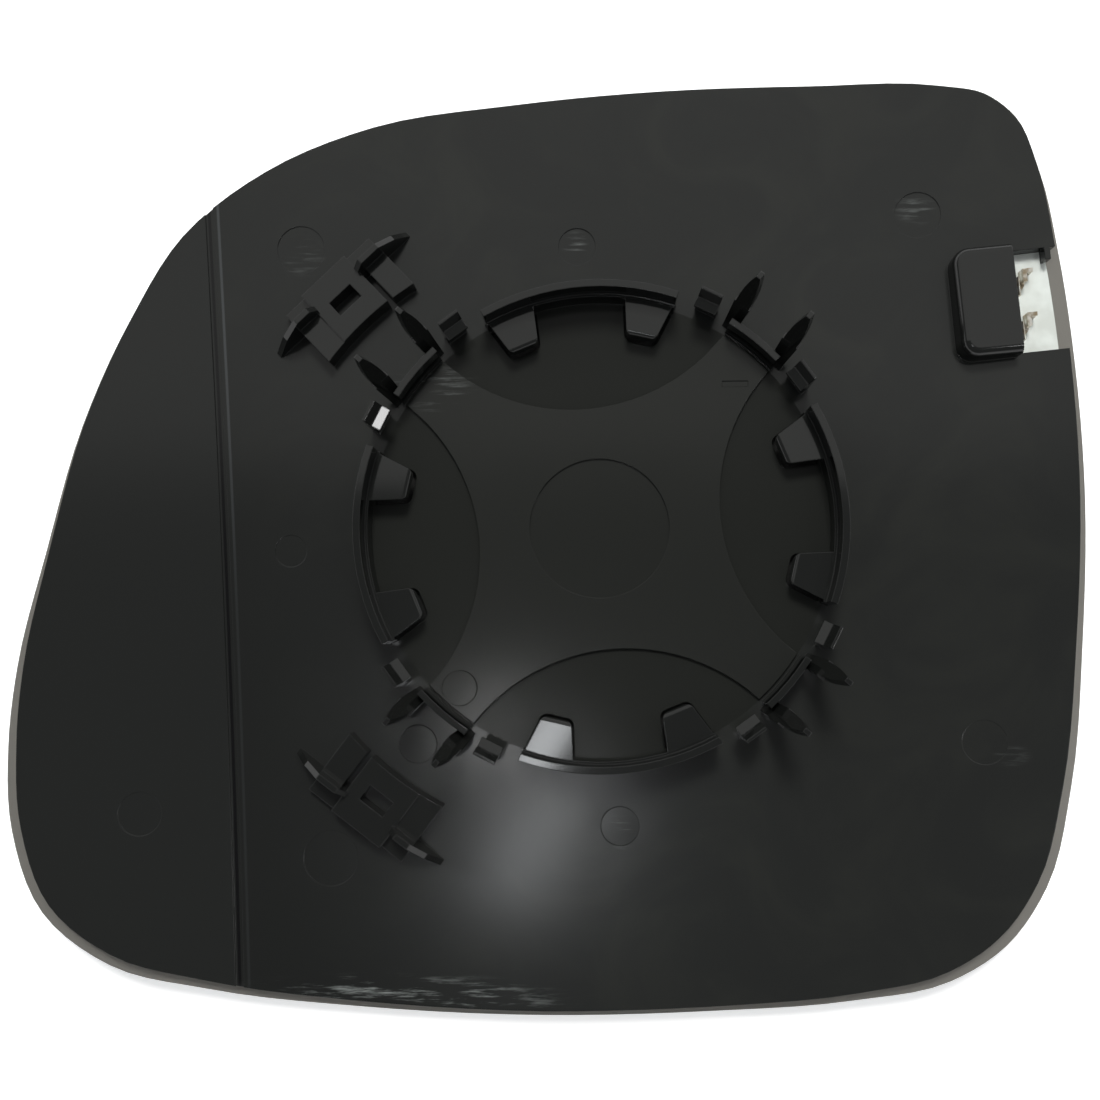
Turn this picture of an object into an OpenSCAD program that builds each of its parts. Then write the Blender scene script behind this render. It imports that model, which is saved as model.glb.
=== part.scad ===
// Door mirror glass of a car, seen from its back: convex glass with a wide-angle field,
// heater film, adhesive sheet and a moulded backing plate that clips onto the adjuster.
// +Z points to the back of the glass and the part lies on its mirror face.

/* [Mirror glass] */
// Width of the glass
glass_w = 199.2; // [185:0.2:215]
// Height of the glass
glass_h = 173; // [160:0.5:186]
// Thickness of the glass
glass_t = 2; // [1.6:0.1:3]
// Radius of the main convex field
main_radius = 1400; // [1100:50:2200]
// Smallest radius of the wide-angle field outside the crease
wide_radius = 420; // [300:10:700]
// Place of the crease on the X axis
crease_x = -60; // [-66:1:-54]
// Lean of the crease line from the vertical, degrees
crease_turn = 3.5; // [0:0.5:5]

/* [Heater film and adhesive] */
// Thickness of the heater film
film_t = 0.3; // [0.2:0.05:0.5]
// Strip of bare glass outside the film
film_inset = 2.7; // [2:0.1:4]
// Thickness of the adhesive sheet
adhesive_t = 0.6; // [0.4:0.1:1.2]
// Distance from the edge of the plate to the adhesive
adhesive_inset = 1.6; // [1:0.1:3]

/* [Backing plate] */
// Thickness of the plate
plate_t = 2.2; // [1.8:0.1:3]
// Extra distance from the edge of the glass to the plate, all round
plate_inset = 0; // [-0.4:0.1:1]
// Width of the groove along the crease
crease_groove_w = 1.5; // [1:0.1:2.5]
// Depth of the groove along the crease
crease_groove_depth = 0.4; // [0.2:0.1:0.8]
// Depth of the round ejector marks
ejector_depth = 0.15; // [0.1:0.05:0.3]

/* [Clip ring] */
// Place of the ring's centre, X
ring_x = 10.2; // [6:0.2:14]
// Place of the ring's centre, Y
ring_y = 2.3; // [-2:0.1:6]
// Turn of the ring about its centre, degrees
ring_turn = 5; // [0:1:8]
// Outer radius of the ring wall
ring_r = 44.4; // [42:0.2:47]
// Thickness of the ring wall at its rim
ring_wall = 1.3; // [1:0.1:1.8]
// Height of the ring above the plate
ring_h = 10.5; // [9:0.5:13]
// Half of the angle that each of the four arcs spans, degrees
arc_half = 24; // [20:1:26]
// Width of the ledge inside the wall, at the height of the lugs
ledge_w = 0.5; // [0.3:0.1:1]

/* [Retaining lugs] */
// Angle of a lug from the middle of its arc, degrees
lug_angle = 17.5; // [15:0.5:18]
// Distance from the rim down to the top of a lug
lug_drop = 5; // [4:0.5:6]
// Thickness of a lug
lug_t = 2.4; // [1.8:0.1:3]
// Length of a lug, inwards from the wall
lug_l = 6.8; // [5:0.2:9]
// Width of a lug where it leaves the wall
lug_root_w = 9.6; // [8:0.2:11]
// Width of a lug at its tip
lug_tip_w = 5.4; // [4:0.2:7]
// Rounding of a lug's top edge at its tip
lug_round = 0.8; // [0.4:0.1:1.2]
// Rounding of a lug's two corners, seen from above
lug_corner = 1.3; // [0.8:0.1:1.8]
// Gap round a lug to the edge of the window under it
window_gap = 0.2; // [0:0.05:0.6]

/* [Corner walls and fins] */
// Half of the angle that a corner wall spans, degrees
corner_half = 7.2; // [5:0.2:8]
// Thickness of a corner wall
corner_wall = 1.2; // [1:0.1:1.6]
// Height of a corner wall above the plate
corner_h = 8; // [6:0.5:10]
// Height of a fin above the plate
fin_h = 22; // [18:0.5:24]
// Width of a fin at its shoulder, the widest place
fin_w = 3.4; // [3:0.1:4]
// Width of a fin at its foot
fin_foot_w = 2.5; // [2.2:0.1:3]
// Thickness of a fin
fin_t = 1.4; // [1.2:0.1:2]
// Outward lean of a fin, degrees
fin_lean = 14; // [8:1:16]

/* [Snap hooks] */
// Angle of a snap hook from the middle of its corner, degrees
hook_angle = 13.8; // [13:0.2:15]
// Width of a snap hook
hook_w = 4.2; // [3:0.2:5]
// Thickness of a hook's stem
hook_t = 1.5; // [1.2:0.1:2]
// Reach of the nose inwards from the stem
hook_nose = 1.6; // [1.2:0.1:1.7]
// Height of a snap hook above the rim of the ring
hook_rise = 1; // [0:0.5:2]

/* [Floor of the ring] */
// Height of the four-armed land inside the ring
star_h = 0.9; // [0.5:0.1:1.4]
// Distance from the ring's centre to the four hollows
hollow_r = 22.5; // [20:0.5:26]
// Diameter of the round recess in the middle
disc_d = 26; // [22:0.5:30]
// Depth of the round recess
disc_depth = 0.5; // [0.3:0.1:0.8]

/* [Guide brackets] */
// Width of a bracket's pad
pad_w = 11; // [9:0.5:13]
// Length of a bracket's pad
pad_l = 11.7; // [10:0.1:13]
// Height of a bracket's pad
pad_h = 4.7; // [3.5:0.1:6]
// Length of the end blocks
block_l = 4.6; // [3.5:0.1:6]
// Width of the end blocks, out to the finger blades
block_w = 7.4; // [6:0.2:8]
// Width of the slot between the pad and one end block
slot_w = 1.2; // [0.8:0.1:1.6]
// Height of the finger blades
finger_h = 8; // [6:0.5:10]
// Thickness of the finger blades
finger_t = 1.1; // [0.9:0.1:1.5]
// Length of the pointed end of a finger blade
finger_point = 6; // [4:0.5:8]
// Radius of the brackets' hollow inner face
bracket_r = 58; // [50:1:80]
// Length of the pad's window
pad_window_l = 5.3; // [4:0.1:7]
// Width of the pad's window
pad_window_w = 3.2; // [2.5:0.1:4]

/* [Notch and hood] */
// Length of the notch along the edge of the plate
notch_l = 19; // [16:0.5:22]
// Depth of the hood behind the notch
hood_w = 10.7; // [9:0.1:13]
// Height of the hood above the plate
hood_h = 4.5; // [3.8:0.1:6]
// Wall of the hood
hood_wall = 1.2; // [1:0.1:1.5]
// Radius of the hood's corners, seen from above
hood_corner = 3; // [2.2:0.1:4]
// Rounding of the hood's top edge
hood_round = 1.5; // [0.8:0.1:2]
// Height of the terminals above the film
terminal_h = 5.5; // [4:0.1:7]
// Thickness of the terminal strip
terminal_t = 0.7; // [0.5:0.1:1]
// Distance between the two terminals
terminal_pitch = 8.2; // [7.5:0.1:9]
// Width of a terminal blade
blade_w = 3.3; // [2.5:0.1:4]

/* [Hidden] */

// Facets of the large field radii and of everything else
field_fn = 720;
$fn = 64;

// Outline of the glass, as shares of half its width and height, with the distance
// from its edge to the plate in millimetres
outline = [
  [ 0.998,  0.080, 2.0], [ 0.986,  0.380, 1.8], [ 0.960,  0.620, 1.6], [ 0.930,  0.790, 1.4],
  [ 0.886,  0.912, 1.3], [ 0.826,  0.967, 1.2], [ 0.740,  0.989, 1.2], [ 0.500,  0.998, 1.2],
  [ 0.220,  0.996, 1.2], [-0.060,  0.972, 1.2], [-0.330,  0.926, 1.2], [-0.540,  0.828, 1.3],
  [-0.700,  0.682, 1.3], [-0.800,  0.492, 1.4], [-0.884,  0.260, 1.5], [-0.945, -0.020, 1.8],
  [-0.990, -0.270, 2.4], [-1.000, -0.440, 2.8], [-0.986, -0.620, 3.0], [-0.925, -0.790, 3.0],
  [-0.800, -0.900, 2.8], [-0.620, -0.950, 2.3], [-0.340, -0.985, 1.8], [ 0.000, -1.000, 1.5],
  [ 0.300, -0.987, 1.6], [ 0.560, -0.960, 2.0], [ 0.730, -0.918, 2.6], [ 0.830, -0.845, 2.9],
  [ 0.905, -0.725, 2.8], [ 0.955, -0.520, 2.5], [ 0.985, -0.220, 2.2]
];
spans = len(outline);
steps = 5;

// Round marks of the ejector pins: place and diameter
ejectors = [[-46.3, 55.5, 9], [6.1, 55.7, 7], [69.4, 60.3, 8.5], [13.8, -52.3, 7],
            [79.4, -36.8, 8], [-23.4, -37.6, 7], [-39.1, -58.3, 10], [-74.3, -50.3, 8],
            [-47.6, -1.8, 6]];
// Round marks on the land inside the ring, and the short bar mark beside them
land_marks = [[-15.7, -27.3, 6.5]];
bar_mark = [35.5, 29.1];
bar_l = 4.8;
bar_w = 1.1;

// Levels of the stack at the middle of the glass
film_z = glass_t;
adhesive_z = film_z + film_t;
plate_z = adhesive_z + adhesive_t;
top_z = plate_z + plate_t;
rim_z = top_z + ring_h;
lug_z = rim_z - lug_drop;
ring_in = ring_r - ring_wall;
// Setback of the corner walls behind the inner face of the arcs, and of the fins behind the
// corner walls
setback = 0.5;
fin_gap = 0.1;
corner_in = ring_in + setback;
corner_end = corner_in * sin(corner_half);
ledge_in = ring_in - ledge_w;
// Depth to which the ribs run into the plate
root = 0.3;

// Guide brackets: place of the inner edge's middle, and turn
brackets = [[-33.2, 40.8, 43.6], [-26.9, -43.1, 143]];
pad_window_y = 3.8;
strip_h = 2.6;
strip_reach = 4.6;
block_step = 0.5;
front_spare = 1.4;
finger_gap = 0.3;

// Notch: its middle on the hood's opening, and turn
notch_inset = [13.6, 42.9];
notch_place = [glass_w / 2 - notch_inset[0], glass_h / 2 - notch_inset[1]];
notch_turn = 5;
notch_shift = -0.15;
hood_margin = 0.65;
nib_w = 1;
nib_l = 2.2;
nib_x = 6.9;
terminal_x = 0.8;
terminal_y = 2.3;
foot_t = 0.4;
foot_lap = 0.4;
foot_seat = 0.02;
hook_tab_l = 2.4;
hook_tab_h = 3;
hook_tab_x = 2;
hook_tab_bend = 1.1;

// Far sizes of cutting solids
deep = 60;
wide = 260;

// Level of the main field at a place, for a surface that lies at height z in the middle
function height(z, x, y) = main_radius - sqrt((main_radius - z) * (main_radius - z) - x * x - y * y);

// Point of the outline, in millimetres
function knot(i) = let (k = outline[(i + spans) % spans]) [k[0] * glass_w / 2, k[1] * glass_h / 2];
function margin(i) = outline[(i + spans) % spans][2];

// Direction of the curve at a knot, weighted by the lengths of the two spans that meet there
function heading(i) =
  let (a = knot(i) - knot(i - 1), b = knot(i + 1) - knot(i))
  (a / norm(a) * norm(b) + b / norm(b) * norm(a)) / (norm(a) + norm(b));

// Point at share t of the span after a knot, and the curve's direction there
function along(i, t) =
  let (a = knot(i), b = knot(i + 1), d = norm(b - a), ma = heading(i) * d, mb = heading(i + 1) * d)
  (2 * t * t * t - 3 * t * t + 1) * a + (t * t * t - 2 * t * t + t) * ma
  + (3 * t * t - 2 * t * t * t) * b + (t * t * t - t * t) * mb;
function course(i, t) =
  let (a = knot(i), b = knot(i + 1), d = norm(b - a), ma = heading(i) * d, mb = heading(i + 1) * d)
  (6 * t * t - 6 * t) * (a - b) + (3 * t * t - 4 * t + 1) * ma + (3 * t * t - 2 * t) * mb;

// Outline moved inwards by a share of the plate's margin and a fixed distance
function inset_outline(share, fixed) = [
  for (i = [0 : spans - 1], s = [0 : steps - 1])
    let (t = s / steps, c = course(i, t), n = [-c[1], c[0]] / norm(c))
    along(i, t) + n * (share * (margin(i) * (1 - t) + margin(i + 1) * t) + fixed)
];

// Section from a line at zero out to a shoulder that is rounded at its top
module round_edge(width, height, r) {
  square([width - r, height]);
  square([width, height - r]);
  translate([width - r, height - r]) circle(r = r);
}

// Polygon with each corner replaced by an arc of radius r
function rounded(points, r, arc_steps = 6) = [
  for (i = [0 : len(points) - 1])
    let (
      p = points[i],
      a = points[(i + len(points) - 1) % len(points)] - p,
      b = points[(i + 1) % len(points)] - p,
      ua = a / norm(a),
      ub = b / norm(b),
      half = acos(ua * ub) / 2,
      mid = (ua + ub) / norm(ua + ub),
      centre = p + mid * r / sin(half),
      from = p + ua * r / tan(half) - centre,
      to = p + ub * r / tan(half) - centre
    )
    for (s = [0 : arc_steps])
      let (w = s / arc_steps, v = from * (1 - w) + to * w)
      centre + v / norm(v) * r
];

// Half of the field's profile on one side of the crease
module field_side(side) {
  crease = [crease_x, sqrt(main_radius * main_radius - crease_x * crease_x)];
  far = crease / main_radius * (main_radius + deep);
  polygon([[0, 0], far, [side * main_radius, main_radius + deep], [side * main_radius, 0]]);
}

// Profile of the mirror field at height z in the stack: two arcs that are tangent at the crease
module field_profile(z) {
  crease = [crease_x, sqrt(main_radius * main_radius - crease_x * crease_x)] / main_radius;
  intersection() {
    union() {
      intersection() {
        circle(r = main_radius - z, $fn = field_fn);
        field_side(1);
      }
      intersection() {
        translate(crease * (main_radius - wide_radius))
          circle(r = wide_radius - z, $fn = field_fn);
        field_side(-1);
      }
    }
    translate([-wide / 2, main_radius - deep]) square([wide, 2 * deep]);
  }
}

// Solid above the curved surface at height z in the stack
module field(z) {
  sweep = 10;
  translate([0, 0, main_radius])
    rotate([0, 0, crease_turn])
      rotate([0, 90, 0])
        rotate([0, 0, -sweep / 2])
          rotate_extrude(angle = sweep, $fn = field_fn)
            rotate(-90) mirror([1, 0]) field_profile(z);
}

// Curved sheet between two heights in the stack, with the children as its outline
module sheet(low, high) {
  difference() {
    intersection() {
      translate([0, 0, -1]) linear_extrude(deep / 2) children();
      field(low);
    }
    field(high);
  }
}

module in_ring(angle = 0) {
  translate([ring_x, ring_y, 0]) rotate(ring_turn + angle) children();
}

module in_notch() {
  translate([notch_place[0], notch_place[1], 0]) rotate(notch_turn) children();
}

// Four walls of the ring, with the ledge at the height of the lugs
module ring_arcs() {
  foot = top_z - root;
  for (quarter = [0 : 90 : 270])
    in_ring(quarter - arc_half)
      rotate_extrude(angle = 2 * arc_half, $fn = 180)
        polygon([[ledge_in, foot], [ring_r, foot], [ring_r, rim_z], [ring_in, rim_z],
                 [ring_in, lug_z], [ledge_in, lug_z]]);
}

// Plan of a lug that points to the ring's centre, grown by a gap on its free sides
function lug_plan(gap) =
  let (
    root = ring_r - ring_wall / 2,
    tip = ledge_in - lug_l - gap,
    taper = (lug_root_w - lug_tip_w) / 2
  )
  [[root, -lug_root_w / 2 - gap], [root, lug_root_w / 2 + gap],
   [tip, lug_root_w / 2 - taper + gap], [tip, taper - lug_root_w / 2 - gap]];

module at_lugs() {
  for (quarter = [0 : 90 : 270], side = [-1, 1])
    in_ring(quarter + side * lug_angle) children();
}

module lugs() {
  reach = ring_r - ledge_in + lug_l;
  at_lugs()
    translate([0, 0, lug_z - lug_t])
      intersection() {
        linear_extrude(lug_t)
          intersection() {
            polygon(rounded(lug_plan(0), lug_corner));
            circle(r = ring_in + ring_wall / 2, $fn = 180);
          }
        translate([ring_r, lug_root_w, 0])
          rotate([90, 0, 0])
            linear_extrude(2 * lug_root_w)
              mirror([1, 0]) round_edge(reach, lug_t, lug_round);
      }
}

// Windows in the floor, through which the mould formed the underside of the lugs
module lug_windows() {
  window_back = 0.3;
  at_lugs()
    translate([0, 0, plate_z - 1])
      linear_extrude(plate_t + star_h + 2)
        intersection() {
          polygon(rounded(lug_plan(window_gap), lug_corner + window_gap));
          circle(r = ledge_in - window_back, $fn = 180);
        }
}

// Low wall across each corner of the ring, with a fin at each end
module corner_walls() {
  foot = top_z - root;
  for (quarter = [45 : 90 : 315])
    in_ring(quarter - corner_half)
      rotate_extrude(angle = 2 * corner_half, $fn = 180)
        translate([corner_in, foot]) square([corner_wall, corner_h + root]);
}

// Half outline of a fin from its foot up to its tip: it widens to a shoulder with a small
// step, and from there its edge bows in to a narrow tip
function fin_edge() =
  let (
    shoulder = fin_h * 0.52,
    step = 0.25,
    tip = 0.4,
    bow = 0.35,
    top = fin_w / 2 - step
  )
  concat(
    [[fin_foot_w / 2, -root], [fin_w / 2, shoulder]],
    [for (s = [0 : 0.25 : 1])
       [top + (tip - top) * s + bow * sin(180 * s), shoulder + (fin_h - shoulder) * s]]
  );

// Pointed fin, drawn flat and stood up at the end of a corner wall
module fin() {
  edge = fin_edge();
  last = len(edge) - 1;
  rotate([0, fin_lean, 0])
    rotate([90, 0, 90])
      linear_extrude(fin_t)
        polygon(concat(edge, [for (i = [last : -1 : 0]) [-edge[i][0], edge[i][1]]]));
}

module fins() {
  for (quarter = [45 : 90 : 315], side = [-1, 1])
    in_ring(quarter) translate([corner_in + fin_gap, side * corner_end, top_z]) fin();
}

// Snap hook between an arc and a corner: a thin crest, a steep lead-in, a flatter one on the
// nose and a sloping face under it
module hooks() {
  foot = top_z - root;
  crest = rim_z + hook_rise;
  stem = ring_r + 0.6;
  land = 0.5;
  steep = 2.2;
  flat = 0.6;
  nose = 0.8;
  under = 1;
  top = crest - steep - flat;
  for (quarter = [45 : 90 : 315], side = [-1, 1])
    in_ring(quarter + side * hook_angle)
      translate([0, hook_w / 2, 0])
        rotate([90, 0, 0])
          linear_extrude(hook_w)
            polygon([[stem, foot], [stem + hook_t, foot], [stem + hook_t, crest],
                     [stem + hook_t - land, crest], [stem, crest - steep],
                     [stem - hook_nose, top], [stem - hook_nose, top - nose],
                     [stem, top - nose - under]]);
}

// Four-armed land inside the ring, left standing between four hollows
module star_plan() {
  corner = [corner_end, ring_in + corner_wall / 2];
  spread = norm(corner);
  reach = spread * cos(45 - atan(corner[0] / corner[1]));
  across = spread * sin(45 - atan(corner[0] / corner[1]));
  depth = reach - hollow_r;
  hollow = (across * across + depth * depth) / (2 * depth);
  difference() {
    intersection() {
      circle(r = ledge_in + ledge_w / 2, $fn = 180);
      rotate(45)
        square(2 * ring_in + corner_wall, center = true);
    }
    for (quarter = [0 : 90 : 270])
      rotate(quarter) translate([hollow_r + hollow, 0]) circle(r = hollow, $fn = 180);
  }
}

module star() {
  sheet(top_z - plate_t / 2, top_z + star_h)
    translate([ring_x, ring_y]) rotate(ring_turn) star_plan();
}

module mirrored_if(side) {
  if (side < 0)
    mirror([1, 0]) children();
  else
    children();
}

// Side of a finger blade that runs along an end block and ends in a leaf-shaped point
module finger_side(end) {
  start = pad_w / 2 - 0.4;
  lead = 1.5;
  point = end + finger_point;
  polygon([[start, 0], [point, 0], [point, root + 0.8],
           [end + 0.5 * finger_point, root + 0.65 * finger_h], [end - 0.5, root + finger_h],
           [start + lead, root + finger_h], [start, root + pad_h + 1]]);
}

// Raised guide bracket: windowed pad, two end blocks with a hollow inner face, an outer strip
// and two finger blades
module bracket(place) {
  base = height(top_z, place[0], place[1]) - root;
  half = pad_w / 2;
  pad_top = root + pad_h;
  block_top = pad_top - block_step;
  blade_y = block_w + finger_gap + finger_t / 2;
  left = half + block_l;
  right = half + slot_w + block_l;
  translate([place[0], place[1], base]) rotate(place[2]) {
    difference() {
      union() {
        translate([-half, -front_spare, 0]) cube([pad_w, pad_l + front_spare, pad_top]);
        translate([-left, -front_spare, 0])
          cube([block_l + block_step, block_w + front_spare, block_top]);
        translate([half + slot_w, -front_spare, 0])
          cube([block_l, block_w + front_spare, block_top]);
      }
      translate([0, -bracket_r, -1]) cylinder(h = pad_top + 2, r = bracket_r, $fn = 360);
      translate([-pad_window_l / 2, pad_window_y, root])
        cube([pad_window_l, pad_window_w, pad_top]);
    }
    translate([-left, pad_l - strip_reach, 0]) cube([left + right, strip_reach, root + strip_h]);
    for (end = [[-1, left], [1, right]])
      translate([0, blade_y, 0])
        rotate([90, 0, 0])
          linear_extrude(finger_t)
            mirrored_if(end[0]) finger_side(end[1]);
  }
}

// Hood over the connector, with round corners and a round top edge, open to the notch
module hood() {
  lift = plate_t / 2;
  height = hood_h + lift;
  half = notch_l / 2 + hood_margin;
  run = 2 * (half - hood_corner);
  base = height(top_z, notch_place[0] - hood_w / 2, notch_place[1]) - lift;
  in_notch() translate([0, notch_shift, base]) {
    translate([hood_corner - hood_w, -run / 2, 0]) cube([hood_w - hood_corner, run, height]);
    translate([hood_corner - hood_w, run / 2, 0])
      rotate([90, 0, 0])
        linear_extrude(run)
          mirror([1, 0]) round_edge(hood_corner, height, hood_round);
    for (side = [-1, 1])
      translate([hood_corner - hood_w, side * run / 2, 0]) {
        rotate([90, 0, 90])
          linear_extrude(hood_w - hood_corner)
            mirrored_if(side) round_edge(hood_corner, height, hood_round);
        rotate(side > 0 ? 90 : 180)
          rotate_extrude(angle = 90)
            hood_corner_section(height);
      }
  }
}

module hood_corner_section(height) {
  intersection() {
    round_edge(hood_corner, height, hood_round);
    square([2 * hood_corner, 2 * height]);
  }
}

// Opening for the terminals: a notch in the plate's edge that runs on under the hood
module notch_cut() {
  roof = height(top_z, notch_place[0] - hood_w / 2, notch_place[1]) + hood_h - hood_wall;
  inner = notch_l / 2 + hood_margin - hood_wall;
  in_notch() translate([0, notch_shift, 0]) {
    difference() {
      translate([0, -notch_l / 2, 0]) cube([deep / 2, notch_l, deep / 2]);
      translate([nib_x, notch_l / 2 - nib_l, -1]) cube([nib_w, nib_l + 1, deep]);
    }
    translate([hood_wall - hood_w, -inner, 0]) cube([hood_w, 2 * inner, roof]);
  }
}

// Shallow groove over the crease of the glass
module crease_groove() {
  intersection() {
    translate([crease_x, 0, 0])
      rotate(crease_turn)
        translate([-crease_groove_w / 2, -wide / 2, 0])
          cube([crease_groove_w, wide, deep / 2]);
    field(top_z - crease_groove_depth);
  }
}

// Round recess in the middle and the marks on the land
module land_marks_cut() {
  intersection() {
    in_ring() cylinder(h = deep / 2, d = disc_d, $fn = 96);
    field(top_z + star_h - disc_depth);
  }
  intersection() {
    union() {
      for (mark = land_marks)
        translate([mark[0], mark[1], 0]) cylinder(h = deep / 2, d = mark[2]);
      translate([bar_mark[0], bar_mark[1], deep / 4])
        cube([bar_l, bar_w, deep / 2], center = true);
    }
    field(top_z + star_h - ejector_depth);
  }
}

module ejector_marks() {
  intersection() {
    union() {
      for (mark = ejectors)
        translate([mark[0], mark[1], 0]) cylinder(h = deep / 2, d = mark[2]);
    }
    field(top_z - ejector_depth);
  }
}

module mirror_glass() {
  color("#c9d3d6")
    sheet(0, glass_t) polygon(inset_outline(0, 0));
}

module heater_film() {
  color("#dfe4e1")
    sheet(film_z, adhesive_z) polygon(inset_outline(0, film_inset));
}

module adhesive_sheet() {
  color("#3a3a38")
    difference() {
      sheet(adhesive_z, plate_z) polygon(inset_outline(1, plate_inset + adhesive_inset));
      notch_cut();
    }
}

module backing_plate() {
  color("#2b2c2b")
    difference() {
      union() {
        difference() {
          sheet(plate_z, top_z) polygon(inset_outline(1, plate_inset));
          crease_groove();
          ejector_marks();
        }
        difference() {
          star();
          land_marks_cut();
        }
        ring_arcs();
        lugs();
        corner_walls();
        fins();
        hooks();
        for (place = brackets)
          bracket(place);
        hood();
      }
      lug_windows();
      notch_cut();
    }
}

// Terminal strip: a foot on the film, an upright blade and a small bent tab beside it
module terminal(y) {
  place = notch_place + terminal_x * [cos(notch_turn), sin(notch_turn)]
          + y * [-sin(notch_turn), cos(notch_turn)];
  translate([place[0], place[1], height(adhesive_z, place[0], place[1]) + foot_seat])
    rotate([atan(place[1] / main_radius), -atan(place[0] / main_radius), notch_turn]) {
      translate([0, -blade_w / 2, 0])
        linear_extrude(foot_t)
          polygon([[0, 0], [terminal_t, 0], [hook_tab_x + terminal_t, blade_w - terminal_t],
                   [hook_tab_x + terminal_t, blade_w + foot_lap], [hook_tab_x, blade_w + foot_lap],
                   [0, blade_w]]);
      translate([0, blade_w / 2, 0])
        rotate([90, 0, 0])
          linear_extrude(blade_w)
            polygon([[0, 0], [terminal_t, 0], [terminal_t, terminal_h - terminal_t],
                     [terminal_t / 2, terminal_h], [0, terminal_h - terminal_t]]);
      translate([hook_tab_x, blade_w / 2 - foot_lap, 0])
        cube([terminal_t, hook_tab_l, hook_tab_h]);
      translate([hook_tab_x, blade_w / 2 - foot_lap + hook_tab_l - terminal_t, 0])
        cube([hook_tab_bend + terminal_t, terminal_t, hook_tab_h]);
    }
}

module terminal_upper() {
  color("#8d7556") terminal(terminal_y);
}

module terminal_lower() {
  color("#8d7556") terminal(terminal_y - terminal_pitch);
}

mirror_glass();
heater_film();
adhesive_sheet();
backing_plate();
terminal_upper();
terminal_lower();
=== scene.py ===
import bpy
from mathutils import Matrix, Vector

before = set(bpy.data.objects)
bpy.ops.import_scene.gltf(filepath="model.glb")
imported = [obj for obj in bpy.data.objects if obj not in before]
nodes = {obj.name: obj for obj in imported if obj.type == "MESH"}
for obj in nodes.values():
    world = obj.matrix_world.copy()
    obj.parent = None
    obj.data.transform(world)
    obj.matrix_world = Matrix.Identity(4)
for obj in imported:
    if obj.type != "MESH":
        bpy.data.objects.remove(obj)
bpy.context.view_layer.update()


# Mirror glass: 2 mm float glass, bent convex and coated, with its edge ground. From the back
# only the edge shows, as a thin pale grey rim round the plate, and the front is a clear mirror.
MM = 0.001
# the marks of the grinding are finer than this, which is as coarse as they need to be to show
EDGE_GRIT = 0.4 * MM
PAINT_STARTS = -50 * MM
PAINT_FULL = -75 * MM
FLAT_STARTS = 0.7
FLAT_FULL = 0.9
SMOOTH = {"interpolation_type": "SMOOTHSTEP"}
COLOUR = {"data_type": "RGBA"}
TIMES = {"operation": "MULTIPLY"}


def linear(code):
    """Turns an sRGB hex code into the linear colour of a socket."""
    channels = [int(code[i:i + 2], 16) / 255 for i in (1, 3, 5)]
    curve = [c / 12.92 if c <= 0.04045 else ((c + 0.055) / 1.055) ** 2.4 for c in channels]
    return (*curve, 1.0)


def add(tree, kind, settings=None, **inputs):
    """Adds a node. An input's key is its name, or i and its number. It takes a value, a socket
    or a node, which stands for its first output in use."""
    node = tree.nodes.new(kind)
    for name, value in (settings or {}).items():
        setattr(node, name, value)
    for key, value in inputs.items():
        if key[1:].isdigit():
            socket = node.inputs[int(key[1:])]
        else:
            socket = next(s for s in node.inputs if s.name == key.replace("_", " ") and s.enabled)
        if isinstance(value, bpy.types.Node):
            value = next(s for s in value.outputs if s.enabled)
        if isinstance(value, bpy.types.NodeSocket):
            tree.links.new(value, socket)
        else:
            socket.default_value = value
    return node


def new_material(name):
    material = bpy.data.materials.new(name)
    material.use_nodes = True
    tree = material.node_tree
    tree.nodes.clear()
    return material, tree


def dress(obj, material):
    obj.data.materials.clear()
    obj.data.materials.append(material)


mirror_glass, tree = new_material("coated_convex_glass")
facing = add(tree, "ShaderNodeNewGeometry").outputs["True Normal"]
up = add(tree, "ShaderNodeSeparateXYZ", Vector=facing).outputs["Z"]
down = add(tree, "ShaderNodeMath", TIMES, i0=up, i1=-1.0)
back = add(tree, "ShaderNodeMapRange", SMOOTH, Value=up, From_Min=FLAT_STARTS, From_Max=FLAT_FULL)
front = add(tree, "ShaderNodeMapRange", SMOOTH, Value=down, From_Min=FLAT_STARTS, From_Max=FLAT_FULL)
place = add(tree, "ShaderNodeTexCoord").outputs["Object"]
grind = add(tree, "ShaderNodeTexNoise", Vector=place, Scale=1 / EDGE_GRIT, Detail=3.0)
ground_tone = add(tree, "ShaderNodeMix", COLOUR, Factor=grind, A=linear("#b9bdb6"),
                  B=linear("#e4e7e2"))
# the protective paint on the lower edge shows through as a faint copper line
height = add(tree, "ShaderNodeSeparateXYZ", Vector=place).outputs["Y"]
painted = add(tree, "ShaderNodeMapRange", SMOOTH, Value=height, From_Min=PAINT_STARTS,
              From_Max=PAINT_FULL)
edge_tone = add(tree, "ShaderNodeMix", COLOUR, Factor=painted, A=ground_tone, B=linear("#b58f7e"))
edge = add(tree, "ShaderNodeBsdfPrincipled", Base_Color=edge_tone, Roughness=0.45)
coat = add(tree, "ShaderNodeBsdfPrincipled", Base_Color=linear("#8f8c86"), Metallic=0.6,
           Roughness=0.35)
mirror = add(tree, "ShaderNodeBsdfPrincipled", Base_Color=linear("#d6dcdf"), Metallic=1.0,
             Roughness=0.02)
rim = add(tree, "ShaderNodeMixShader", i0=back, i1=edge, i2=coat)
whole = add(tree, "ShaderNodeMixShader", i0=front, i1=rim, i2=mirror)
add(tree, "ShaderNodeOutputMaterial", Surface=whole)
dress(nodes["mirror_glass"], mirror_glass)


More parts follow.
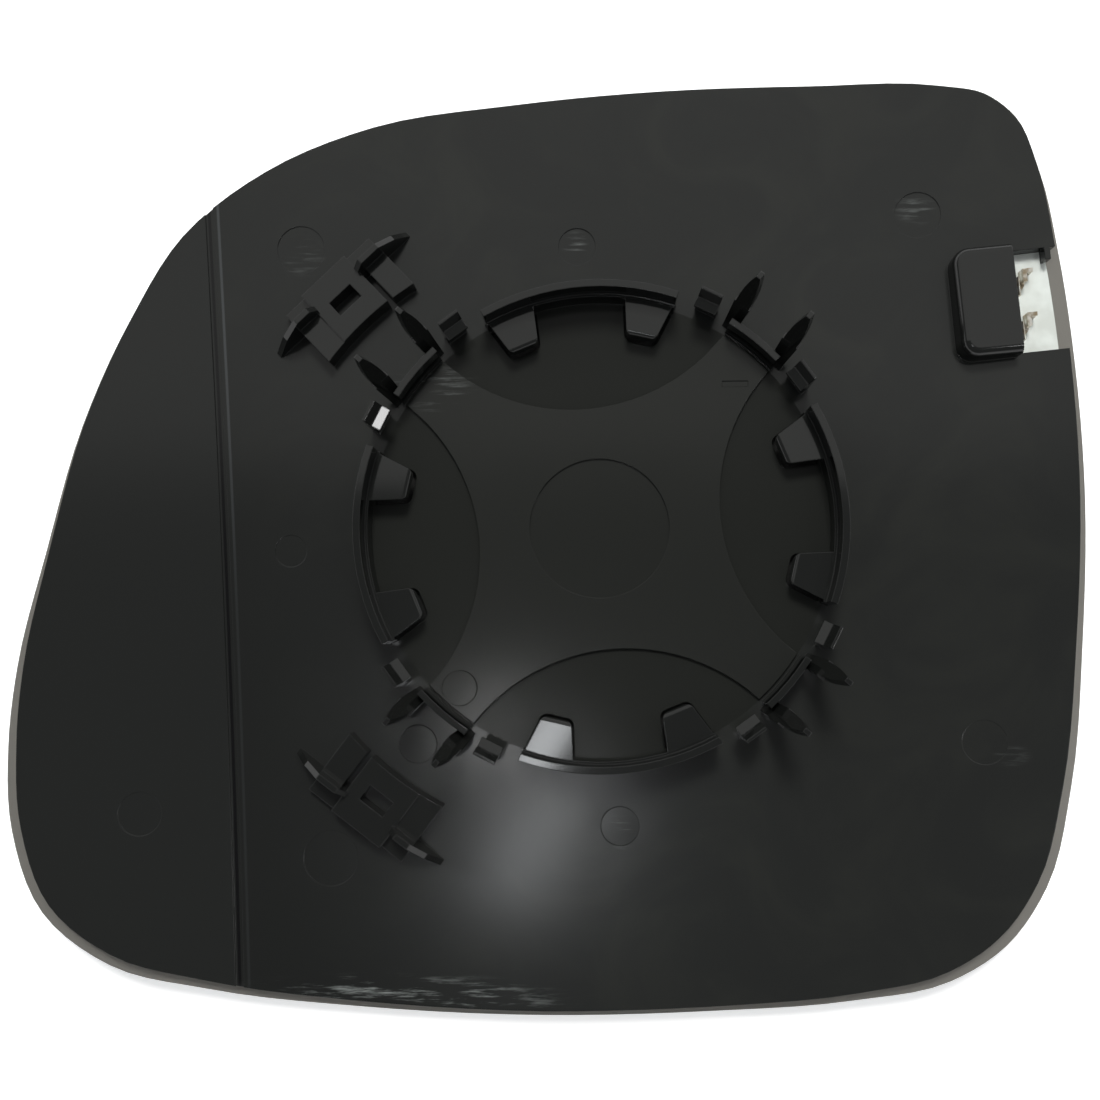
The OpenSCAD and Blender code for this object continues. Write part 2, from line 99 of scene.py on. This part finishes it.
# Heater film: clear polyester on a pale backing, stuck to the back of the glass. It shows in
# the notch as a pale satin field with faint cloudy tints.
TINT_CLOUD = 6 * MM
film, tree = new_material("heater_film_polyester")
place = add(tree, "ShaderNodeTexCoord").outputs["Object"]
cloud = add(tree, "ShaderNodeTexNoise", Vector=place, Scale=1 / TINT_CLOUD, Detail=3.0)
tinted = add(tree, "ShaderNodeMapRange", SMOOTH, Value=cloud, From_Min=0.35, From_Max=0.65)
film_tone = add(tree, "ShaderNodeMix", COLOUR, Factor=tinted, A=linear("#d3d7d1"),
                B=linear("#e6ebe6"))
sheet = add(tree, "ShaderNodeBsdfPrincipled", Base_Color=film_tone, Roughness=0.3)
add(tree, "ShaderNodeOutputMaterial", Surface=sheet)
dress(nodes["heater_film"], film)


# Heater terminals: two folded strips of tinned brass, fixed to the ends of the film's tracks.
# The tin is pale and softly shiny, and browner where it has worn thin.
WIPE_MARK = 1.2 * MM
tinned, tree = new_material("tinned_brass")
place = add(tree, "ShaderNodeTexCoord").outputs["Object"]
wipe = add(tree, "ShaderNodeTexNoise", Vector=place, Scale=1 / WIPE_MARK, Detail=3.0)
tin = add(tree, "ShaderNodeMapRange", SMOOTH, Value=wipe, From_Min=0.35, From_Max=0.7)
metal_tone = add(tree, "ShaderNodeMix", COLOUR, Factor=tin, A=linear("#a8987e"),
                 B=linear("#efece4"))
metal = add(tree, "ShaderNodeBsdfPrincipled", Base_Color=metal_tone, Metallic=0.8, Roughness=0.36)
add(tree, "ShaderNodeOutputMaterial", Surface=metal)
for name in ("terminal_upper", "terminal_lower"):
    dress(nodes[name], tinned)


# Adhesive sheet: closed-cell foam tape in black, cut out at the notch and pressed between the
# film and the plate. Only its cut edge shows, dull and finely speckled by its cells.
FOAM_CELL = 0.35 * MM
adhesive, tree = new_material("foam_tape_black")
place = add(tree, "ShaderNodeTexCoord").outputs["Object"]
cells = add(tree, "ShaderNodeTexVoronoi", Vector=place, Scale=1 / FOAM_CELL)
foam_tone = add(tree, "ShaderNodeMix", COLOUR, Factor=cells, A=linear("#161616"),
                B=linear("#2a2a29"))
foam = add(tree, "ShaderNodeBsdfPrincipled", Base_Color=foam_tone, Roughness=0.85)
add(tree, "ShaderNodeOutputMaterial", Surface=foam)
dress(nodes["adhesive_sheet"], adhesive)


# Backing plate: one moulding in black ABS, with the clip ring, lugs, fins, brackets and hood.
# It is moulded against finely eroded steel, so it is satin on the flat and glossier where the
# ribs were polished out of the mould. Handling has left haze and small scuffs on it.
FIELD_RADIUS = 1400 * MM
PLATE_TOP = 5.1 * MM
RIB_STARTS = 1.6 * MM
RIB_FULL = 2.2 * MM
PLUS = {"operation": "ADD"}
MINUS = {"operation": "SUBTRACT"}
BELOW = {"operation": "LESS_THAN"}
LENGTH = {"operation": "LENGTH"}
abs_black, tree = new_material("abs_moulded_black")
place = add(tree, "ShaderNodeTexCoord").outputs["Object"]
x, y, z = add(tree, "ShaderNodeSeparateXYZ", Vector=place).outputs
x_squared = add(tree, "ShaderNodeMath", TIMES, i0=x, i1=x)
y_squared = add(tree, "ShaderNodeMath", TIMES, i0=y, i1=y)
squares = add(tree, "ShaderNodeMath", PLUS, i0=x_squared, i1=y_squared)
bowl = add(tree, "ShaderNodeMath", {"operation": "DIVIDE"}, i0=squares, i1=2 * FIELD_RADIUS)
unbent = add(tree, "ShaderNodeMath", MINUS, i0=z, i1=bowl)
above = add(tree, "ShaderNodeMath", MINUS, i0=unbent, i1=PLATE_TOP)
rib = add(tree, "ShaderNodeMapRange", SMOOTH, Value=above, From_Min=RIB_STARTS, From_Max=RIB_FULL)

# inside the ring the floor mirrors less, the disc in its middle still less, and the four
# hollows least of all. The hollows, and the disc a little, are painted darker as painted shade
RING_PLACE = (10.2 * MM, 2.3 * MM, 0)
RING_INNER = 43.1 * MM
LAND_RISE = 0.9 * MM
DISC_RADIUS = 13 * MM
DISC_DULL = 0.35
from_ring = add(tree, "ShaderNodeVectorMath", MINUS, i0=place, i1=RING_PLACE)
flat = add(tree, "ShaderNodeVectorMath", TIMES, i0=from_ring, i1=(1, 1, 0))
radius = add(tree, "ShaderNodeVectorMath", LENGTH, i0=flat)
in_ring = add(tree, "ShaderNodeMath", BELOW, i0=radius, i1=RING_INNER)
low = add(tree, "ShaderNodeMath", BELOW, i0=above, i1=LAND_RISE / 2)
hollow = add(tree, "ShaderNodeMath", TIMES, i0=in_ring, i1=low)
disc = add(tree, "ShaderNodeMath", BELOW, i0=radius, i1=DISC_RADIUS)
less_on_disc = add(tree, "ShaderNodeMix", Factor=disc, A=1.0, B=DISC_DULL)
dull_and_shaded = add(tree, "ShaderNodeMath", TIMES, i0=hollow, i1=less_on_disc)
# the land's own colour, painted darker in the hollows as painted shade
ring_tone_shaded_hollows = add(tree, "ShaderNodeMix", COLOUR, Factor=dull_and_shaded, A=linear("#222321"),
                B=linear("#212220"))

# the haze of handling lies on the main field, which is painted darker towards its lower left as
# painted shade
HAZE_CLOUD = 24 * MM
SHADE_LEAN = 0.35
SHADE_FULL = -75 * MM
SHADE_ENDS = -10 * MM
haze = add(tree, "ShaderNodeTexNoise", Vector=place, Scale=1 / HAZE_CLOUD, Detail=5.0,
           Roughness=0.6, Distortion=1.2)
hazy = add(tree, "ShaderNodeMapRange", SMOOTH, Value=haze, From_Min=0.42, From_Max=0.72)
hazy_tone = add(tree, "ShaderNodeMix", COLOUR, Factor=hazy, A=linear("#222322"),
                B=linear("#262725"))
up_slope = add(tree, "ShaderNodeMath", TIMES, i0=y, i1=SHADE_LEAN)
across = add(tree, "ShaderNodeMath", PLUS, i0=x, i1=up_slope)
unshaded = add(tree, "ShaderNodeMapRange", SMOOTH, Value=across, From_Min=SHADE_FULL,
               From_Max=SHADE_ENDS)
main_tone = add(tree, "ShaderNodeMix", COLOUR, Factor=unshaded, A=linear("#1c1d1c"), B=hazy_tone)

# the wide-angle field lies past the crease, which leans a little
CREASE_X = -60 * MM
CREASE_LEAN = 0.0612
CREASE_WIDTH = 0.5 * MM
lean = add(tree, "ShaderNodeMath", TIMES, i0=y, i1=CREASE_LEAN)
upright = add(tree, "ShaderNodeMath", PLUS, i0=x, i1=lean)
past_crease = add(tree, "ShaderNodeMath", MINUS, i0=CREASE_X, i1=upright)
wide_field = add(tree, "ShaderNodeMapRange", SMOOTH, Value=past_crease, From_Min=0.0,
                 From_Max=CREASE_WIDTH)
field_tone = add(tree, "ShaderNodeMix", COLOUR, Factor=wide_field, A=main_tone,
                 B=linear("#202120"))


def crease_line(at, width):
    """Mask of a thin line that runs beside the crease."""
    past_line = add(tree, "ShaderNodeMath", MINUS, i0=past_crease, i1=at)
    off = add(tree, "ShaderNodeMath", {"operation": "ABSOLUTE"}, i0=past_line)
    outside = add(tree, "ShaderNodeMapRange", SMOOTH, Value=off, From_Min=0.2 * width,
                  From_Max=0.6 * width)
    return add(tree, "ShaderNodeMath", MINUS, i0=1.0, i1=outside)


# the crease is painted as a shallow step: a dark line of painted shade for its side, and beside
# it a light line of painted highlight, which is clear in the upper half and faint below
STEP_SHADE_AT, STEP_SHADE_WIDTH = 0.1 * MM, 0.7 * MM
STEP_HIGHLIGHT_AT, STEP_HIGHLIGHT_WIDTH = -1.7 * MM, 0.6 * MM
HIGHLIGHT_FAINT_BELOW, HIGHLIGHT_CLEAR_ABOVE = -20 * MM, 45 * MM
crease_shade_tone = add(tree, "ShaderNodeMix", COLOUR, Factor=crease_line(STEP_SHADE_AT, STEP_SHADE_WIDTH),
              A=field_tone, B=linear("#0c0c0d"))
upper = add(tree, "ShaderNodeMapRange", SMOOTH, Value=y, From_Min=HIGHLIGHT_FAINT_BELOW,
            From_Max=HIGHLIGHT_CLEAR_ABOVE)
highlight_strength = add(tree, "ShaderNodeMix", Factor=upper, A=0.2, B=1.0)
painted_highlight_line = add(tree, "ShaderNodeMath", TIMES, i0=crease_line(STEP_HIGHLIGHT_AT, STEP_HIGHLIGHT_WIDTH),
                 i1=highlight_strength)
# the floor's tone with the crease's painted shade and painted highlight
crease_painted_tone = add(tree, "ShaderNodeMix", COLOUR, Factor=painted_highlight_line, A=crease_shade_tone,
                 B=linear("#3c3e3f"))

# rubbed places, each with its middle x and y, half width and half height in mm, and its share
RUBBED = ((-27, -83, 36, 5.0, 0.9), (-21, 29, 10, 6, 0.35), (5.6, 56.3, 3, 3, 0.35),
          (69, 61.5, 4.5, 4, 0.3), (14, -53, 3, 4, 0.3), (84, -39, 4, 3, 0.14),
          (-46, 54.4, 5, 5, 0.2), (10, 47, 12, 2, 0.4))
# a scuff is about 9 mm long and 0.9 mm wide
SCUFF_GRAIN = 1.4 * MM
SCUFF_STRETCH = (0.16, 1.6, 1)
SCUFF_TURN = 0.06
streak = add(tree, "ShaderNodeMapping", Vector=place, Rotation=(0, 0, SCUFF_TURN),
             Scale=SCUFF_STRETCH)
scratch = add(tree, "ShaderNodeTexNoise", Vector=streak, Scale=1 / SCUFF_GRAIN, Detail=4.0,
              Roughness=0.65)
scuffs = add(tree, "ShaderNodeMapRange", SMOOTH, Value=scratch, From_Min=0.5, From_Max=0.72)
rubbed = 0.0
for middle_x, middle_y, half_x, half_y, share in RUBBED:
    middle = (middle_x * MM, middle_y * MM, 0)
    off = add(tree, "ShaderNodeVectorMath", MINUS, i0=place, i1=middle)
    scaled = add(tree, "ShaderNodeVectorMath", TIMES, i0=off,
                 i1=(1 / (half_x * MM), 1 / (half_y * MM), 0))
    reach = add(tree, "ShaderNodeVectorMath", LENGTH, i0=scaled)
    outside = add(tree, "ShaderNodeMapRange", SMOOTH, Value=reach, From_Min=0.3, From_Max=1.0)
    patch = add(tree, "ShaderNodeMath", MINUS, i0=1.0, i1=outside)
    patch = add(tree, "ShaderNodeMath", TIMES, i0=patch, i1=share)
    rubbed = add(tree, "ShaderNodeMath", {"operation": "MAXIMUM"}, i0=rubbed, i1=patch)
wear = add(tree, "ShaderNodeMath", TIMES, i0=rubbed, i1=scuffs)

# the plastic itself, with rounded edges and glossier ribs; its eroded grain is finer than a
# pixel and is drawn coarser, so that it shows
GRAIN = 0.45 * MM
GRAIN_DEPTH = 0.02 * MM
EDGE_ROUND = 0.22 * MM
whole_floor = add(tree, "ShaderNodeMix", COLOUR, Factor=in_ring, A=crease_painted_tone, B=ring_tone_shaded_hollows)
worn_floor = add(tree, "ShaderNodeMix", COLOUR, Factor=wear, A=whole_floor, B=linear("#7d817f"))
tone = add(tree, "ShaderNodeMix", COLOUR, Factor=rib, A=worn_floor, B=linear("#181918"))
rough = add(tree, "ShaderNodeMix", Factor=rib, A=0.14, B=0.08)
floor_shine = add(tree, "ShaderNodeMix", Factor=in_ring, A=0.31, B=0.26)
floor_shine = add(tree, "ShaderNodeMix", Factor=dull_and_shaded, A=floor_shine, B=0.1)
shine = add(tree, "ShaderNodeMix", Factor=rib, A=floor_shine, B=0.5)
grain = add(tree, "ShaderNodeTexNoise", Vector=place, Scale=1 / GRAIN, Detail=2.0)
rounded = add(tree, "ShaderNodeBevel", {"samples": 6}, Radius=EDGE_ROUND)
bump = add(tree, "ShaderNodeBump", Strength=0.06, Distance=GRAIN_DEPTH, Height=grain,
           Normal=rounded)
skin = add(tree, "ShaderNodeBsdfPrincipled", Base_Color=tone, Roughness=rough, IOR=1.54,
           Specular_IOR_Level=shine, Normal=bump)
add(tree, "ShaderNodeOutputMaterial", Surface=skin)
dress(nodes["backing_plate"], abs_black)


# Table: a board of matt white card under the part, which takes its shadow. The lamps fade out
# across it, so it glows a little near the part and fully far off, and is white all over.
TABLE_SIZE = 6
TABLE_DROP = 0.2 * MM
GLOW_RISES = 0.5
GLOW_FULL = 1.5
EITHER = {"operation": "MAXIMUM"}
bpy.ops.mesh.primitive_plane_add(size=TABLE_SIZE, location=(0, 0, -TABLE_DROP))
floor = bpy.context.object
floor.name = "table_top"
white, tree = new_material("white_table")
path = add(tree, "ShaderNodeLightPath")
seen = add(tree, "ShaderNodeMath", EITHER, i0=path.outputs["Is Camera Ray"],
           i1=path.outputs["Is Glossy Ray"])
seen = add(tree, "ShaderNodeMath", EITHER, i0=seen, i1=path.outputs["Is Transmission Ray"])
on_table = add(tree, "ShaderNodeTexCoord").outputs["Object"]
distance = add(tree, "ShaderNodeVectorMath", LENGTH, i0=on_table)
far = add(tree, "ShaderNodeMapRange", SMOOTH, Value=distance, From_Min=GLOW_RISES,
          From_Max=GLOW_FULL)
glow_level = add(tree, "ShaderNodeMix", Factor=far, A=0.45, B=1.0)
paper = add(tree, "ShaderNodeBsdfDiffuse", Color=linear("#f4f4f4"))
glow = add(tree, "ShaderNodeEmission", Strength=glow_level)
lit = add(tree, "ShaderNodeAddShader", i0=paper, i1=glow)
table = add(tree, "ShaderNodeMixShader", i0=seen, i1=paper, i2=lit)
add(tree, "ShaderNodeOutputMaterial", Surface=table)
dress(floor, white)


# Studio room: a white backdrop for the camera and through clear surfaces. What the part
# mirrors is white all round and dim above, as under a plain ceiling, so the plate stays black.
CEILING_STARTS = 0.25
CEILING_FULL = 0.5
world = bpy.data.worlds.new("studio")
world.use_nodes = True
tree = world.node_tree
tree.nodes.clear()
path = add(tree, "ShaderNodeLightPath")
room = add(tree, "ShaderNodeBackground", Color=(0.92, 0.96, 1.0, 1), Strength=0.25)
dim = add(tree, "ShaderNodeBackground", Color=(0.97, 0.98, 1.0, 1), Strength=0.12)
backdrop = add(tree, "ShaderNodeBackground", Color=(1, 1, 1, 1), Strength=1.0)
toward = add(tree, "ShaderNodeTexCoord").outputs["Generated"]
rise = add(tree, "ShaderNodeSeparateXYZ", Vector=toward).outputs["Z"]
ceiling = add(tree, "ShaderNodeMapRange", SMOOTH, Value=rise, From_Min=CEILING_STARTS,
              From_Max=CEILING_FULL)
mirrored = add(tree, "ShaderNodeMixShader", i0=ceiling, i1=backdrop, i2=dim)
around = add(tree, "ShaderNodeMixShader", i0=path.outputs["Is Glossy Ray"], i1=room, i2=mirrored)
seen = add(tree, "ShaderNodeMath", EITHER, i0=path.outputs["Is Camera Ray"],
           i1=path.outputs["Is Transmission Ray"])
sky = add(tree, "ShaderNodeMixShader", i0=seen, i1=around, i2=backdrop)
add(tree, "ShaderNodeOutputWorld", Surface=sky)
scene = bpy.context.scene
scene.world = world


# Lamps: a soft key lamp and a wide soft ceiling from the top of the picture, two small
# ceiling lamps that the plate mirrors below the ring, and a weak lamp from the notch's side.
def lamp(name, at, aim, size, watts, tone):
    data = bpy.data.lights.new(name, "AREA")
    data.shape = "RECTANGLE"
    data.size, data.size_y = size
    data.energy = watts
    data.color = tone
    obj = bpy.data.objects.new(name, data)
    scene.collection.objects.link(obj)
    obj.location = at
    obj.rotation_euler = (Vector(at) - Vector(aim)).to_track_quat("Z", "Y").to_euler()
    return obj


key = lamp("key_lamp", (0.03, 0.87, 1.58), (0, 0, 0), (0.42, 0.42), 23, (1, 1, 0.98))
key.visible_glossy = False
lamp("soft_ceiling", (0.0, 1.40, 1.5), (0, 1.40, 0), (3.2, 2.4), 12.6, (1, 1, 0.97))
lamp("ceiling_lamp", (-0.070, -0.155, 1.5), (0, -0.05, 0), (0.054, 0.145), 0.26, (0.95, 0.98, 1))
lamp("ceiling_core", (-0.114, -0.058, 1.5), (0, -0.05, 0), (0.03, 0.03), 0.12, (1, 1, 1))
lamp("side_lamp", (0.72, -0.20, 1.5), (0, 0, 0), (0.16, 0.16), 1.2, (1, 1, 1))


# Camera: close above the part and almost straight over it, with the top of the picture
# towards +Y. Its place was found from the outline, the ring and the walls that show.
CAMERA_PLACE = (0.01027, -0.01935, 0.23915)
CAMERA_TARGET = (0.00097, -0.00167, 0.005)
scene.view_settings.view_transform = "Standard"
camera = bpy.data.objects.new("camera", bpy.data.cameras.new("camera"))
camera.data.lens = 41.19
camera.data.sensor_width = 36
camera.data.clip_start = 10 * MM
camera.location = CAMERA_PLACE
back_axis = (camera.location - Vector(CAMERA_TARGET)).normalized()
right_axis = Vector((0, 1, 0)).cross(back_axis).normalized()
axes = Matrix((right_axis, back_axis.cross(right_axis), back_axis)).transposed()
camera.rotation_euler = axes.to_euler()
scene.collection.objects.link(camera)
scene.camera = camera
